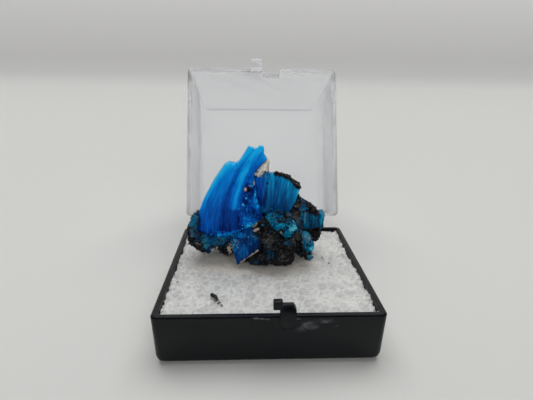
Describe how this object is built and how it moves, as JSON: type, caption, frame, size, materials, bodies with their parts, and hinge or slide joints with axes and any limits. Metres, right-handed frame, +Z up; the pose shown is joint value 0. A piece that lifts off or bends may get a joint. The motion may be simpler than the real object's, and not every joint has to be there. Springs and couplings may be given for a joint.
{
  "type": "chalcanthite mineral specimen in a hinged display box",
  "caption": "Fibrous blue chalcanthite veins on black rock matrix, standing on white foam in a small square display box with an open clear hinged lid.",
  "frame": {"origin": "centre of the flat underside of the box base", "axes": "+Z up, +Y towards the hinge at the back, +X to the right seen from the front"},
  "size_m": [0.032, 0.0713, 0.041],
  "materials": {
    "black_plastic": "moulded black polystyrene, satin, lightly scuffed",
    "clear_plastic": "clear polystyrene, glossy",
    "white_foam": "white expanded polystyrene with fine cells and torn edges",
    "black_matrix": "rough black rock",
    "chalcanthite_blue": "fibrous, translucent, vitreous to silky, bright blue",
    "chalcanthite_teal": "fibrous, silky, dark teal blue",
    "chalcanthite_turquoise": "fine crystalline crust, turquoise",
    "cream_gypsum": "matt cream mineral crust"
  },
  "bodies": {
    "base": {"base_tray": "black_plastic", "foam_pad": "white_foam", "matrix_rock": "black_matrix", "matrix_crumb": "black_matrix", "main_vein": "chalcanthite_blue", "lower_chip": "chalcanthite_blue", "upper_right_vein": "chalcanthite_teal", "right_end_vein": "chalcanthite_teal", "turquoise_druse": "chalcanthite_turquoise", "right_druse": "chalcanthite_turquoise", "gypsum_patch": "cream_gypsum"},
    "lid": {"clear_lid": "clear_plastic"}
  },
  "joints": [
    {"name": "lid_hinge", "type": "hinge", "parent": "base", "child": "lid", "pos_m": [0, 0.0174, 0.0081], "axis": [1, 0, 0], "range_deg": [0, 112.3]}
  ]
}
